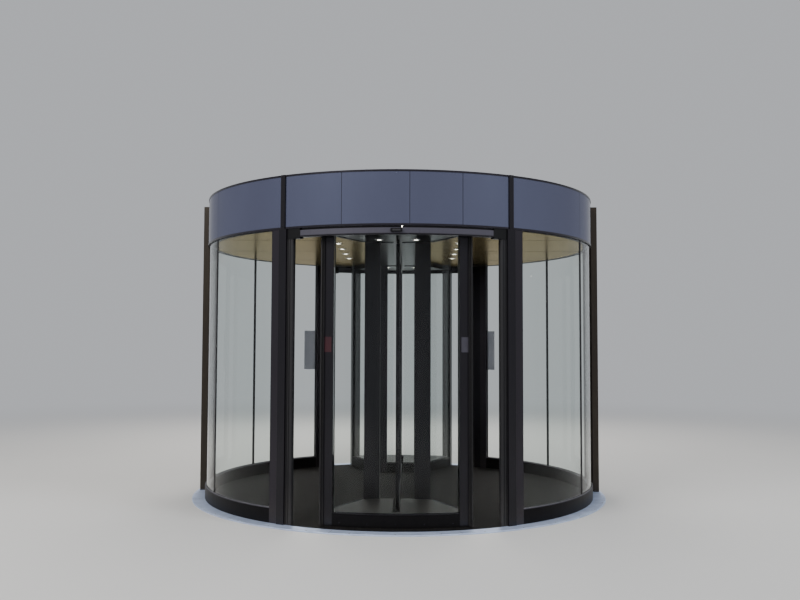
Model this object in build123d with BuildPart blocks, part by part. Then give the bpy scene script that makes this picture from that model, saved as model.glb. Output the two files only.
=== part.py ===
from build123d import *
from math import asin, cos, degrees, hypot, radians, sin
import os

os.makedirs("parts", exist_ok=True)

# A two-wing revolving door: a glazed drum under a deep canopy, with a rotor inside it.
# The rotor's axis is the Z axis, the street is towards -Y, and the ground is at Z = 0.

# Floor
floor_thickness = 10
floor_ring_projection = 112
floor_ring_cover = 25
floor_ring_chamfer = 3

# Drum walls, measured in from the outer face of the canopy's panels
drum_radius = 1800
wall_thickness = 50
glass_thickness = 12
glass_setback = 12
glass_groove_depth = 15
glass_groove_clearance = 0.5
base_rail_height = 117
rail_chamfer = 5
wall_gap = 0.5

# Uprights of the drum; angles run from the middle of the front mouth towards +X
mouth_angle = 29.6
mullion_angle = 61
post_width = 72
post_proud = 12
stile_width = 78
safety_edge_width = 56
safety_edge_nose = 15
safety_edge_rib = 9
safety_edge_groove = 4
post_fillet = 3
mullion_width = 14
mullion_cover = 3
wall_post_width = 60
wall_post_depth = 58
wall_post_distance = 34
wall_web_thickness = 12
end_channel_width = 30
end_channel_depth = 30

# Canopy, with heights above the finished floor
canopy_underside = 2280
canopy_height = 426
fascia_thickness = 5
trim_height = 15
trim_proud = 3
fascia_joint = 4
front_joints = [-13.5, 3.2, 16.3]
side_panels = 4
strip_width = 40
carcass_ring_height = 60
carcass_uprights = 12
carcass_upright_width = 40
roof_thickness = 20

# Headers over the two mouths
header_height = 70
header_lip_height = 12
header_lip_proud = 3
header_shadow_height = 15
header_shadow_depth = 15
header_setback = 5

# Sensors on the headers, and black blocks in the corners of the mouths
sensor_width = 90
sensor_depth = 24
sensor_height = 26
corner_block_width = 120
corner_block_drop = 10
corner_block_proud = 3

# Rotor
rotor_wall_clearance = 15
rotor_clearance = 10
ceiling_thickness = 20
seal_thickness = 13
seal_width = 30

# Display cases at the ends of the rotor
case_half_angle = 19.7
case_inner_half_width = 275
case_outer_post_width = 100
case_outer_post_depth = 50
case_inner_post_width = 130
case_inner_post_depth = 45
case_base_height = 95
case_floor_thickness = 8
case_floor_setback = 6
case_head_height = 40
case_glass_thickness = 10
case_glass_setback = 8

# Sliding leaves, which pass into the cases through a slot
leaf_length = 1000
leaf_gap = 10
leaf_thickness = 30
leaf_stile = 50
leaf_top_rail = 80
leaf_bottom_rail = 110
leaf_top_clearance = 8
leaf_glass_thickness = 10
leaf_case_gap = 35
leaf_meeting_fillet = 6
slot_front_margin = 56
slot_width = 60
slot_end_clearance = 35
end_glass_clearance = 20

# Track over the leaves, with the carriages that run in it
track_width = 80
track_lip = 8
track_slot = 16
track_cavity_width = 50
track_cavity_height = 24
carriage_stem = 10
carriage_body_width = 22
carriage_body_height = 12
carriage_length = 64
carriage_inset = 120
wheel_radius = 8
wheel_width = 8
wheel_base = 36
header_casing_width = 210

# Bearing of the rotor
beam_width = 120
beam_height = 100
boss_radius = 90
spindle_radius = 40
spindle_clearance = 0.05
collar_radius = 70
collar_height = 20

# Lights in the rotor's ceiling and in the heads of the cases
light_radius = 30
light_flange = 6
light_flange_thickness = 3
light_depth = 15
light_spacing_x = 1080
light_spacing_y = 430
case_light_spacing = 300
case_light_distance = 1250

# Small gap between curved faces that seat on each other
seat = 0.3

# Levels and radii worked out from the sizes above
floor_level = floor_thickness
floor_ring_radius = drum_radius + floor_ring_projection
mat_radius = drum_radius - floor_ring_cover
wall_inner = drum_radius - wall_thickness
glass_outer = drum_radius - glass_setback
glass_inner = glass_outer - glass_thickness
canopy_bottom = floor_level + canopy_underside
canopy_top = canopy_bottom + canopy_height
carcass_outer = drum_radius - fascia_thickness - seat
carcass_inner = wall_inner
carcass_width = carcass_outer - carcass_inner
rotor_outer = wall_inner - rotor_wall_clearance
rotor_radius = rotor_outer - seal_thickness
header_bottom = canopy_bottom - header_height
rail_top = floor_level + base_rail_height


def span(width, radius=drum_radius):
    # angle in degrees that a width takes up on a circle
    return degrees(width / radius)


def quarters(start, stop):
    # the same stretch of wall on the front right, rear right, rear left and front left
    return [
        (start, stop),
        (180 - stop, 180 - start),
        (180 + start, 180 + stop),
        (-stop, -start),
    ]


def sectors(inner, outer, spans):
    # plan of ring sectors, each from a start angle to a stop angle
    with BuildSketch() as plan:
        for start, stop in spans:
            with BuildLine():
                far = CenterArc((0, 0), outer, start - 90, stop - start)
                near = CenterArc((0, 0), inner, start - 90, stop - start)
                Line(far @ 0, near @ 0)
                Line(far @ 1, near @ 1)
            make_face()
    return plan.sketch


def at_angle(radius, angle):
    # point in plan at an angle from the middle of the front mouth
    return (radius * sin(radians(angle)), -radius * cos(radians(angle)))


# Stretches of the wall, from the mouth towards the side
edge_start = mouth_angle - span(post_width / 2) - span(safety_edge_width)
post_start = mouth_angle - span(post_width / 2)
post_stop = mouth_angle + span(post_width / 2)
stile_stop = post_stop + span(stile_width)
mullion_start = mullion_angle - span(mullion_width / 2)
mullion_stop = mullion_angle + span(mullion_width / 2)
side_start = 90 - degrees(asin(end_channel_width / 2 / wall_inner))

first_rails = quarters(stile_stop, mullion_angle - span(wall_gap / 2))
second_rails = quarters(mullion_angle + span(wall_gap / 2), side_start)
first_panes = quarters(stile_stop, mullion_start)
second_panes = quarters(mullion_stop, side_start)

# Floor ring and the mat inside it
with BuildPart() as floor_ring:
    with BuildSketch():
        Circle(floor_ring_radius)
        Circle(mat_radius, mode=Mode.SUBTRACT)
    extrude(amount=floor_thickness)
    rim = floor_ring.edges().group_by(Axis.Z)[-1].sort_by(SortBy.LENGTH)[-1]
    chamfer(rim, floor_ring_chamfer)
floor_ring.part.label = "floor_ring"
export_step(floor_ring.part, "parts/floor_ring.step")

with BuildPart() as floor_mat:
    with BuildSketch():
        Circle(mat_radius - seat)
    extrude(amount=floor_thickness)
floor_mat.part.label = "floor_mat"
export_step(floor_mat.part, "parts/floor_mat.step")

# Base rails, in segments that meet under the mullions, with a groove for the panes
groove_bottom = rail_top - glass_groove_depth
groove_inner = glass_inner - glass_groove_clearance
groove_outer = glass_outer + glass_groove_clearance


def long_top_edges(rails):
    # the curved edges along the top of the rails, inside and outside
    return rails.edges().group_by(Axis.Z)[-1].filter_by(GeomType.CIRCLE)


with BuildPart() as right_base_rails:
    with BuildSketch(Plane.XY.offset(floor_level)):
        add(sectors(wall_inner, drum_radius, first_rails[:2] + second_rails[:2]))
    extrude(amount=base_rail_height)
    chamfer(long_top_edges(right_base_rails), rail_chamfer)
    with BuildSketch(Plane.XY.offset(groove_bottom)):
        add(sectors(groove_inner, groove_outer, first_panes[:2] + second_panes[:2]))
    extrude(amount=glass_groove_depth, mode=Mode.SUBTRACT)
right_base_rails.part.label = "right_base_rails"
export_step(right_base_rails.part, "parts/right_base_rails.step")

with BuildPart() as left_base_rails:
    with BuildSketch(Plane.XY.offset(floor_level)):
        add(sectors(wall_inner, drum_radius, first_rails[2:] + second_rails[2:]))
    extrude(amount=base_rail_height)
    chamfer(long_top_edges(left_base_rails), rail_chamfer)
    with BuildSketch(Plane.XY.offset(groove_bottom)):
        add(sectors(groove_inner, groove_outer, first_panes[2:] + second_panes[2:]))
    extrude(amount=glass_groove_depth, mode=Mode.SUBTRACT)
left_base_rails.part.label = "left_base_rails"
export_step(left_base_rails.part, "parts/left_base_rails.step")

# Curved panes between the rails and the canopy
pane_height = canopy_bottom - rail_top
with BuildPart() as right_wall_glass:
    with BuildSketch(Plane.XY.offset(groove_bottom)):
        add(sectors(glass_inner, glass_outer, first_panes[:2] + second_panes[:2]))
    extrude(amount=pane_height + 2 * glass_groove_depth)
right_wall_glass.part.label = "right_wall_glass"
export_step(right_wall_glass.part, "parts/right_wall_glass.step")

with BuildPart() as left_wall_glass:
    with BuildSketch(Plane.XY.offset(groove_bottom)):
        add(sectors(glass_inner, glass_outer, first_panes[2:] + second_panes[2:]))
    extrude(amount=pane_height + 2 * glass_groove_depth)
left_wall_glass.part.label = "left_wall_glass"
export_step(left_wall_glass.part, "parts/left_wall_glass.step")

# Posts beside the mouths, standing proud of the drum
post_spans = quarters(post_start, post_stop)


def proud_edges(posts, radius):
    # the upright edges at the outer face
    return [
        edge
        for edge in posts.edges().filter_by(Axis.Z)
        if hypot(edge.center().X, edge.center().Y) > radius
    ]


with BuildPart() as front_posts:
    with BuildSketch(Plane.XY.offset(floor_level)):
        add(sectors(wall_inner, drum_radius + post_proud, [post_spans[0], post_spans[3]]))
    extrude(amount=canopy_underside)
    fillet(proud_edges(front_posts, drum_radius), post_fillet)
front_posts.part.label = "front_posts"
export_step(front_posts.part, "parts/front_posts.step")

with BuildPart() as rear_posts:
    with BuildSketch(Plane.XY.offset(floor_level)):
        add(sectors(wall_inner, drum_radius + post_proud, post_spans[1:3]))
    extrude(amount=canopy_underside)
    fillet(proud_edges(rear_posts, drum_radius), post_fillet)
rear_posts.part.label = "rear_posts"
export_step(rear_posts.part, "parts/rear_posts.step")

# End stiles of the glazed walls
with BuildPart() as wall_stiles:
    with BuildSketch(Plane.XY.offset(floor_level)):
        add(sectors(wall_inner, drum_radius, quarters(post_stop, stile_stop)))
    extrude(amount=canopy_underside)
wall_stiles.part.label = "wall_stiles"
export_step(wall_stiles.part, "parts/wall_stiles.step")

# Soft safety edges on the mouth side of the posts, ribbed outside, under the corner blocks
corner_bottom = header_bottom - corner_block_drop
edge_outer = drum_radius - header_setback
rib_step = span(2 * safety_edge_rib)
rib_grooves = quarters(post_start - rib_step, post_start - rib_step + span(safety_edge_rib))
rib_grooves += quarters(post_start - 2 * rib_step, post_start - 2 * rib_step + span(safety_edge_rib))
with BuildPart() as safety_edges:
    with BuildSketch(Plane.XY.offset(floor_level)):
        add(sectors(wall_inner, edge_outer, quarters(edge_start, post_start)))
    extrude(amount=corner_bottom - floor_level)
    nose_edges = [
        edge
        for edge in safety_edges.edges().filter_by(Axis.Z)
        if abs(edge.center().X) < drum_radius * sin(radians(edge_start + span(safety_edge_width / 2)))
    ]
    fillet(nose_edges, safety_edge_nose)
    with BuildSketch(Plane.XY.offset(floor_level)):
        add(sectors(edge_outer - safety_edge_groove, drum_radius, rib_grooves))
    extrude(amount=corner_bottom - floor_level, mode=Mode.SUBTRACT)
safety_edges.part.label = "safety_edges"
export_step(safety_edges.part, "parts/safety_edges.step")

# Thin mullions over the joints of the panes, standing on the base rails
with BuildPart() as wall_mullions:
    with BuildSketch(Plane.XY.offset(rail_top)):
        add(
            sectors(
                glass_inner - mullion_cover,
                glass_outer + mullion_cover,
                quarters(mullion_start, mullion_stop),
            )
        )
    extrude(amount=pane_height)
wall_mullions.part.label = "wall_mullions"
export_step(wall_mullions.part, "parts/wall_mullions.step")

# Posts beside the facade, each joined by a web to the channel in which the panes end
wall_post_inner = drum_radius + wall_post_distance
wall_post_outer = wall_post_inner + wall_post_depth
channel_outer = drum_radius + trim_proud + seat


def plan_box(near, far, width):
    # plan of a rectangle on the X axis, from one distance to another
    with BuildSketch() as plan:
        with Locations(((near + far) / 2, 0)):
            Rectangle(far - near, width)
    return plan.sketch


with BuildPart() as right_wall_post:
    with BuildSketch(Plane.XY.offset(floor_level)):
        add(plan_box(wall_inner, channel_outer, end_channel_width))
    extrude(amount=base_rail_height)
    with BuildSketch(Plane.XY.offset(floor_level)):
        add(plan_box(drum_radius - end_channel_depth, channel_outer, end_channel_width))
    extrude(amount=canopy_underside)
    with BuildSketch(Plane.XY.offset(floor_level)):
        add(plan_box(channel_outer, wall_post_inner, wall_web_thickness))
        add(plan_box(wall_post_inner, wall_post_outer, wall_post_width))
    extrude(amount=canopy_underside + canopy_height)
right_wall_post.part.label = "right_wall_post"
export_step(right_wall_post.part, "parts/right_wall_post.step")

with BuildPart() as left_wall_post:
    mirror(right_wall_post.part, about=Plane.YZ)
left_wall_post.part.label = "left_wall_post"
export_step(left_wall_post.part, "parts/left_wall_post.step")

# Carcass of the canopy: two rings joined by uprights
upright_bottom = canopy_bottom + carcass_ring_height
upper_ring_bottom = canopy_top - roof_thickness - carcass_ring_height
upright_pitch = 360 / carcass_uprights
with BuildPart() as canopy_frame:
    for level in (canopy_bottom, upper_ring_bottom):
        with BuildSketch(Plane.XY.offset(level)):
            Circle(carcass_outer)
            Circle(carcass_inner, mode=Mode.SUBTRACT)
        extrude(amount=carcass_ring_height)
    with BuildSketch(Plane.XY.offset(canopy_bottom)):
        add(sectors(groove_inner, groove_outer, first_panes + second_panes))
    extrude(amount=glass_groove_depth, mode=Mode.SUBTRACT)
    with BuildSketch(Plane.XY.offset(upright_bottom)):
        with PolarLocations((carcass_inner + carcass_outer) / 2, carcass_uprights, start_angle=upright_pitch / 2):
            Rectangle(carcass_width / 2, carcass_upright_width)
    extrude(amount=upper_ring_bottom - upright_bottom)
canopy_frame.part.label = "canopy_frame"
export_step(canopy_frame.part, "parts/canopy_frame.step")

with BuildPart() as canopy_roof:
    with BuildSketch(Plane.XY.offset(canopy_top - roof_thickness)):
        Circle(carcass_outer)
    extrude(amount=roof_thickness)
canopy_roof.part.label = "canopy_roof"
export_step(canopy_roof.part, "parts/canopy_roof.step")

# Trims at the bottom and top edges of the canopy
with BuildPart() as canopy_trims:
    for level in (canopy_bottom, canopy_top - trim_height):
        with BuildSketch(Plane.XY.offset(level)):
            Circle(drum_radius + trim_proud)
            Circle(drum_radius - fascia_thickness, mode=Mode.SUBTRACT)
        extrude(amount=trim_height)
canopy_trims.part.label = "canopy_trims"
export_step(canopy_trims.part, "parts/canopy_trims.step")

# Curved panels between the trims, with open joints
fascia_inner = drum_radius - fascia_thickness
fascia_bottom = canopy_bottom + trim_height
fascia_height = canopy_height - 2 * trim_height
half_joint = span(fascia_joint / 2)


def panels(bounds):
    # stretches between joints, each shortened by half a joint at both ends
    return [(low + half_joint, high - half_joint) for low, high in zip(bounds[:-1], bounds[1:])]


front_bounds = [-mouth_angle] + front_joints + [mouth_angle]
rear_bounds = [180 + bound for bound in front_bounds]
side_step = (180 - 2 * mouth_angle) / side_panels
right_bounds = [mouth_angle + side_step * index for index in range(side_panels + 1)]
left_bounds = [180 + bound for bound in right_bounds]

with BuildPart() as front_fascia:
    with BuildSketch(Plane.XY.offset(fascia_bottom)):
        add(sectors(fascia_inner, drum_radius, panels(front_bounds)))
    extrude(amount=fascia_height)
front_fascia.part.label = "front_fascia"
export_step(front_fascia.part, "parts/front_fascia.step")

with BuildPart() as rear_fascia:
    with BuildSketch(Plane.XY.offset(fascia_bottom)):
        add(sectors(fascia_inner, drum_radius, panels(rear_bounds)))
    extrude(amount=fascia_height)
rear_fascia.part.label = "rear_fascia"
export_step(rear_fascia.part, "parts/rear_fascia.step")

with BuildPart() as right_fascia:
    with BuildSketch(Plane.XY.offset(fascia_bottom)):
        add(sectors(fascia_inner, drum_radius, panels(right_bounds)))
    extrude(amount=fascia_height)
right_fascia.part.label = "right_fascia"
export_step(right_fascia.part, "parts/right_fascia.step")

with BuildPart() as left_fascia:
    with BuildSketch(Plane.XY.offset(fascia_bottom)):
        add(sectors(fascia_inner, drum_radius, panels(left_bounds)))
    extrude(amount=fascia_height)
left_fascia.part.label = "left_fascia"
export_step(left_fascia.part, "parts/left_fascia.step")

# Upright strips that carry the line of the posts up over the canopy
strip_start = mouth_angle - span(strip_width / 2)
strip_stop = mouth_angle + span(strip_width / 2)
with BuildPart() as canopy_strips:
    with BuildSketch(Plane.XY.offset(canopy_bottom)):
        add(
            sectors(
                drum_radius + trim_proud + seat,
                drum_radius + post_proud,
                quarters(strip_start, strip_stop),
            )
        )
    extrude(amount=canopy_height)
    fillet(proud_edges(canopy_strips, drum_radius + trim_proud + 2 * seat), post_fillet)
canopy_strips.part.label = "canopy_strips"
export_step(canopy_strips.part, "parts/canopy_strips.step")

# Stepped headers over the mouths: a proud lip, a face band and a shadow gap
header_face = drum_radius - header_setback
block_start = post_start - span(corner_block_width)
header_span = [(-block_start, block_start)]
band_height = header_height - header_lip_height - header_shadow_height
with BuildPart() as front_header:
    with BuildSketch(Plane.XY.offset(header_bottom)):
        add(sectors(wall_inner, header_face + header_lip_proud, header_span))
    extrude(amount=header_lip_height)
    with BuildSketch(Plane.XY.offset(header_bottom + header_lip_height)):
        add(sectors(wall_inner, header_face, header_span))
    extrude(amount=band_height)
    with BuildSketch(Plane.XY.offset(canopy_bottom - header_shadow_height)):
        add(sectors(wall_inner, header_face - header_shadow_depth, header_span))
    extrude(amount=header_shadow_height)
front_header.part.label = "front_header"
export_step(front_header.part, "parts/front_header.step")

with BuildPart() as rear_header:
    mirror(front_header.part, about=Plane.XZ)
rear_header.part.label = "rear_header"
export_step(rear_header.part, "parts/rear_header.step")

# Small sensors on the face bands of the headers, and the blocks in the corners
sensor_level = header_bottom + header_lip_height + band_height / 2
with BuildPart() as header_sensors:
    with BuildSketch(Plane.XZ.offset(header_face + seat)):
        with Locations((0, sensor_level)):
            RectangleRounded(sensor_width, sensor_height, sensor_height / 4)
    extrude(amount=sensor_depth)
    mirror(about=Plane.XZ)
    with BuildSketch(Plane.XY.offset(corner_bottom)):
        add(sectors(wall_inner, header_face + corner_block_proud, quarters(block_start, post_start)))
    extrude(amount=canopy_bottom - corner_bottom)
header_sensors.part.label = "header_sensors"
export_step(header_sensors.part, "parts/header_sensors.step")

# Beam across the canopy, with the boss that carries the rotor
beam_half_length = ((carcass_outer - seat) ** 2 - (beam_width / 2) ** 2) ** 0.5
beam_top = upright_bottom + beam_height
with BuildPart() as drive_beam:
    with BuildSketch(Plane.XY.offset(upright_bottom)):
        Rectangle(2 * beam_half_length, beam_width)
        Circle(boss_radius)
        Circle(spindle_radius + spindle_clearance, mode=Mode.SUBTRACT)
    extrude(amount=beam_height)
drive_beam.part.label = "drive_beam"
export_step(drive_beam.part, "parts/drive_beam.step")

# Rotor: round ceiling with holes for the lights
ceiling_top = canopy_bottom + ceiling_thickness
with BuildPart() as rotor_ceiling:
    with BuildSketch(Plane.XY.offset(canopy_bottom)):
        Circle(rotor_outer)
        with GridLocations(light_spacing_x, light_spacing_y, 2, 4):
            Circle(light_radius, mode=Mode.SUBTRACT)
    extrude(amount=ceiling_thickness)
rotor_ceiling.part.label = "rotor_ceiling"
export_step(rotor_ceiling.part, "parts/rotor_ceiling.step")

# Spindle through the boss, hung on a collar
with BuildPart() as spindle:
    with BuildSketch(Plane.XY.offset(ceiling_top)):
        Circle(spindle_radius)
    extrude(amount=beam_top + seat - ceiling_top)
    with BuildSketch(Plane.XY.offset(beam_top + seat)):
        Circle(collar_radius)
    extrude(amount=collar_height)
spindle.part.label = "spindle"
export_step(spindle.part, "parts/spindle.step")

# Plan of a display case: straight sides that widen to a curved front
leaf_end = leaf_gap / 2 + leaf_length
case_inner_end = leaf_end + leaf_case_gap
case_corner = at_angle(rotor_radius, case_half_angle)
case_foot = (case_inner_half_width, -case_inner_end)
with BuildSketch() as case_plan:
    with BuildLine():
        front_arc = CenterArc((0, 0), rotor_radius, -90 - case_half_angle, 2 * case_half_angle)
        Polyline(front_arc @ 1, case_foot, (-case_inner_half_width, -case_inner_end), front_arc @ 0)
    make_face()

# Plan of its four corner posts
outer_post_start = case_half_angle - span(case_outer_post_width, rotor_radius)
inner_post_middle = (
    case_inner_half_width - case_inner_post_width / 2,
    -case_inner_end - case_inner_post_depth / 2,
)
with BuildSketch() as case_post_plan:
    add(
        sectors(
            rotor_radius - case_outer_post_depth,
            rotor_radius,
            [(outer_post_start, case_half_angle), (-case_half_angle, -outer_post_start)],
        )
    )
    with Locations(inner_post_middle, (-inner_post_middle[0], inner_post_middle[1])):
        Rectangle(case_inner_post_width, case_inner_post_depth)

# The slot for the leaf ends behind the curved pane, and the leaf stops short of its end
case_pane_outer = rotor_radius - 2 * case_glass_setback
case_pane_inner = case_pane_outer - case_glass_thickness
slot_end = case_pane_inner - slot_front_margin
leaf_travel = slot_end - slot_end_clearance - leaf_end
print("leaf travel", leaf_travel)
case_bottom = floor_level + rotor_clearance
case_base_top = case_bottom + case_base_height
case_head_bottom = canopy_bottom - case_head_height

with BuildPart() as front_showcase_posts:
    with BuildSketch(Plane.XY.offset(case_bottom)):
        add(case_post_plan.sketch)
    extrude(amount=canopy_bottom - case_bottom)
front_showcase_posts.part.label = "front_showcase_posts"
export_step(front_showcase_posts.part, "parts/front_showcase_posts.step")

with BuildPart() as front_showcase_base:
    with BuildSketch(Plane.XY.offset(case_bottom)):
        add(case_plan.sketch)
        add(case_post_plan.sketch, mode=Mode.SUBTRACT)
        with Locations((0, -slot_end / 2)):
            Rectangle(slot_width, slot_end, mode=Mode.SUBTRACT)
    extrude(amount=case_base_height)
front_showcase_base.part.label = "front_showcase_base"
export_step(front_showcase_base.part, "parts/front_showcase_base.step")

with BuildPart() as front_showcase_head:
    with BuildSketch(Plane.XY.offset(case_head_bottom)):
        add(case_plan.sketch)
        add(case_post_plan.sketch, mode=Mode.SUBTRACT)
        with Locations((0, -slot_end / 2)):
            Rectangle(track_width, slot_end, mode=Mode.SUBTRACT)
        with Locations((0, -case_light_distance)):
            with GridLocations(case_light_spacing, 1, 2, 1):
                Circle(light_radius, mode=Mode.SUBTRACT)
    extrude(amount=case_head_height)
front_showcase_head.part.label = "front_showcase_head"
export_step(front_showcase_head.part, "parts/front_showcase_head.step")

# Display floors on the bases, inside the panes
display_edge = 2 * case_glass_setback + case_glass_thickness + case_floor_setback
with BuildPart() as showcase_floors:
    with BuildSketch(Plane.XY.offset(case_base_top)):
        add(case_plan.sketch)
        offset(amount=-display_edge, kind=Kind.INTERSECTION, mode=Mode.REPLACE)
        add(case_post_plan.sketch, mode=Mode.SUBTRACT)
        with Locations((0, -slot_end / 2)):
            Rectangle(slot_width, slot_end, mode=Mode.SUBTRACT)
    extrude(amount=case_floor_thickness)
    mirror(about=Plane.XZ)
showcase_floors.part.label = "showcase_floors"
export_step(showcase_floors.part, "parts/showcase_floors.step")

# Curved pane between the outer posts
case_pane_height = case_head_bottom - case_base_top
with BuildPart() as front_showcase_front_glass:
    with BuildSketch(Plane.XY.offset(case_base_top)):
        add(
            sectors(
                case_pane_inner,
                case_pane_outer,
                [(-outer_post_start, outer_post_start)],
            )
        )
    extrude(amount=case_pane_height)
front_showcase_front_glass.part.label = "front_showcase_front_glass"
export_step(front_showcase_front_glass.part, "parts/front_showcase_front_glass.step")

# Flat panes along the slanted sides, and narrow ones each side of the slot
side_run = (case_corner[0] - case_foot[0], case_corner[1] - case_foot[1])
side_length = hypot(*side_run)
side_along = (side_run[0] / side_length, side_run[1] / side_length)
side_inward = (side_along[1], -side_along[0])
side_reach = side_length - case_outer_post_depth / 2


def on_side(distance, depth):
    # point on the slanted side, a distance along it and a depth inside it
    return (
        case_foot[0] + side_along[0] * distance + side_inward[0] * depth,
        case_foot[1] + side_along[1] * distance + side_inward[1] * depth,
    )


pane_back = case_glass_setback + case_glass_thickness
end_glass_inner = leaf_thickness / 2 + end_glass_clearance
end_glass_outer = case_inner_half_width - case_inner_post_width
end_glass_middle = (end_glass_inner + end_glass_outer) / 2
with BuildPart() as front_showcase_side_glass:
    with BuildSketch(Plane.XY.offset(case_base_top)):
        with BuildLine():
            Polyline(
                on_side(0, case_glass_setback),
                on_side(side_reach, case_glass_setback),
                on_side(side_reach, pane_back),
                on_side(0, pane_back),
                close=True,
            )
        make_face()
        mirror(about=Plane.YZ)
        for side in (1, -1):
            with Locations((side * end_glass_middle, -case_inner_end - 2 * case_glass_setback)):
                Rectangle(
                    end_glass_outer - end_glass_inner,
                    case_glass_thickness,
                    align=(Align.CENTER, Align.MAX),
                )
        add(case_post_plan.sketch, mode=Mode.SUBTRACT)
    extrude(amount=case_pane_height)
front_showcase_side_glass.part.label = "front_showcase_side_glass"
export_step(front_showcase_side_glass.part, "parts/front_showcase_side_glass.step")

# The rear case is the front one, turned to the far end of the rotor
with BuildPart() as rear_showcase_posts:
    mirror(front_showcase_posts.part, about=Plane.XZ)
rear_showcase_posts.part.label = "rear_showcase_posts"
export_step(rear_showcase_posts.part, "parts/rear_showcase_posts.step")

with BuildPart() as rear_showcase_base:
    mirror(front_showcase_base.part, about=Plane.XZ)
rear_showcase_base.part.label = "rear_showcase_base"
export_step(rear_showcase_base.part, "parts/rear_showcase_base.step")

with BuildPart() as rear_showcase_head:
    mirror(front_showcase_head.part, about=Plane.XZ)
rear_showcase_head.part.label = "rear_showcase_head"
export_step(rear_showcase_head.part, "parts/rear_showcase_head.step")

with BuildPart() as rear_showcase_front_glass:
    mirror(front_showcase_front_glass.part, about=Plane.XZ)
rear_showcase_front_glass.part.label = "rear_showcase_front_glass"
export_step(rear_showcase_front_glass.part, "parts/rear_showcase_front_glass.step")

with BuildPart() as rear_showcase_side_glass:
    mirror(front_showcase_side_glass.part, about=Plane.XZ)
rear_showcase_side_glass.part.label = "rear_showcase_side_glass"
export_step(rear_showcase_side_glass.part, "parts/rear_showcase_side_glass.step")

# Carriers of the brushes that sweep the drum, on the outer posts of both cases
seal_spans = quarters(case_half_angle - span(seal_width, rotor_radius), case_half_angle)
with BuildPart() as brush_seals:
    with BuildSketch(Plane.XY.offset(case_bottom)):
        add(sectors(rotor_radius + seat, rotor_outer, seal_spans))
    extrude(amount=canopy_bottom - case_bottom)
brush_seals.part.label = "brush_seals"
export_step(brush_seals.part, "parts/brush_seals.step")

# Track: a channel open downwards between two lips
track_bottom = case_head_bottom
with BuildPart() as door_track:
    with BuildSketch(Plane.XZ.offset(-slot_end)):
        with Locations((0, track_bottom)):
            Rectangle(track_width, case_head_height, align=(Align.CENTER, Align.MIN))
            Rectangle(track_slot, track_lip, align=(Align.CENTER, Align.MIN), mode=Mode.SUBTRACT)
        with Locations((0, track_bottom + track_lip)):
            Rectangle(
                track_cavity_width,
                track_cavity_height,
                align=(Align.CENTER, Align.MIN),
                mode=Mode.SUBTRACT,
            )
    extrude(amount=2 * slot_end)
door_track.part.label = "door_track"
export_step(door_track.part, "parts/door_track.step")

# Casings each side of the track, between the heads of the cases
with BuildPart() as door_header:
    with BuildSketch(Plane.XY.offset(track_bottom)):
        for side in (1, -1):
            with Locations((side * (track_width + header_casing_width) / 2, 0)):
                Rectangle(header_casing_width, 2 * case_inner_end)
    extrude(amount=case_head_height)
door_header.part.label = "door_header"
export_step(door_header.part, "parts/door_header.step")

# Lights: a can in its hole and a flange against the underside
with BuildPart() as downlights:
    with BuildSketch(Plane.XY.offset(canopy_bottom - light_flange_thickness)):
        with GridLocations(light_spacing_x, light_spacing_y, 2, 4):
            Circle(light_radius + light_flange)
    extrude(amount=light_flange_thickness)
    with BuildSketch(Plane.XY.offset(canopy_bottom)):
        with GridLocations(light_spacing_x, light_spacing_y, 2, 4):
            Circle(light_radius - seat)
    extrude(amount=light_depth)
    with BuildSketch(Plane.XY.offset(case_head_bottom - light_flange_thickness)):
        with GridLocations(case_light_spacing, 2 * case_light_distance, 2, 2):
            Circle(light_radius + light_flange)
    extrude(amount=light_flange_thickness)
    with BuildSketch(Plane.XY.offset(case_head_bottom)):
        with GridLocations(case_light_spacing, 2 * case_light_distance, 2, 2):
            Circle(light_radius - seat)
    extrude(amount=light_depth)
downlights.part.label = "downlights"
export_step(downlights.part, "parts/downlights.step")

# Sliding leaf, hung on two carriages whose heads run on the lips of the track
leaf_bottom = floor_level + rotor_clearance
leaf_top = track_bottom - leaf_top_clearance
leaf_middle = -leaf_gap / 2 - leaf_length / 2
opening_bottom = leaf_bottom + leaf_bottom_rail
opening_top = leaf_top - leaf_top_rail
opening_width = leaf_length - 2 * leaf_stile
carriage_spacing = leaf_length - 2 * carriage_inset
wheel_level = track_bottom + track_lip + seat + wheel_radius
carriage_body_bottom = wheel_level - carriage_body_height / 2
with BuildPart() as front_leaf_frame:
    with BuildSketch(Plane.YZ):
        with Locations((leaf_middle, leaf_bottom)):
            Rectangle(leaf_length, leaf_top - leaf_bottom, align=(Align.CENTER, Align.MIN))
        with Locations((leaf_middle, opening_bottom)):
            Rectangle(
                opening_width,
                opening_top - opening_bottom,
                align=(Align.CENTER, Align.MIN),
                mode=Mode.SUBTRACT,
            )
    extrude(amount=leaf_thickness / 2, both=True)
    fillet(front_leaf_frame.edges().filter_by(Axis.Z).group_by(Axis.Y)[-1], leaf_meeting_fillet)
    with BuildSketch(Plane.XY.offset(leaf_top)):
        with Locations((0, leaf_middle)):
            with GridLocations(1, carriage_spacing, 1, 2):
                Rectangle(carriage_stem, carriage_length)
    extrude(amount=wheel_level - leaf_top)
    with BuildSketch(Plane.XY.offset(carriage_body_bottom)):
        with Locations((0, leaf_middle)):
            with GridLocations(1, carriage_spacing, 1, 2):
                Rectangle(carriage_body_width, carriage_length)
    extrude(amount=carriage_body_height)
    with BuildSketch(Plane.YZ):
        with Locations((leaf_middle, wheel_level)):
            with GridLocations(carriage_spacing, 1, 2, 1):
                with GridLocations(wheel_base, 1, 2, 1):
                    Circle(wheel_radius)
    extrude(amount=carriage_body_width / 2 + wheel_width, both=True)
front_leaf_frame.part.label = "front_leaf_frame"
export_step(front_leaf_frame.part, "parts/front_leaf_frame.step")

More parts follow.
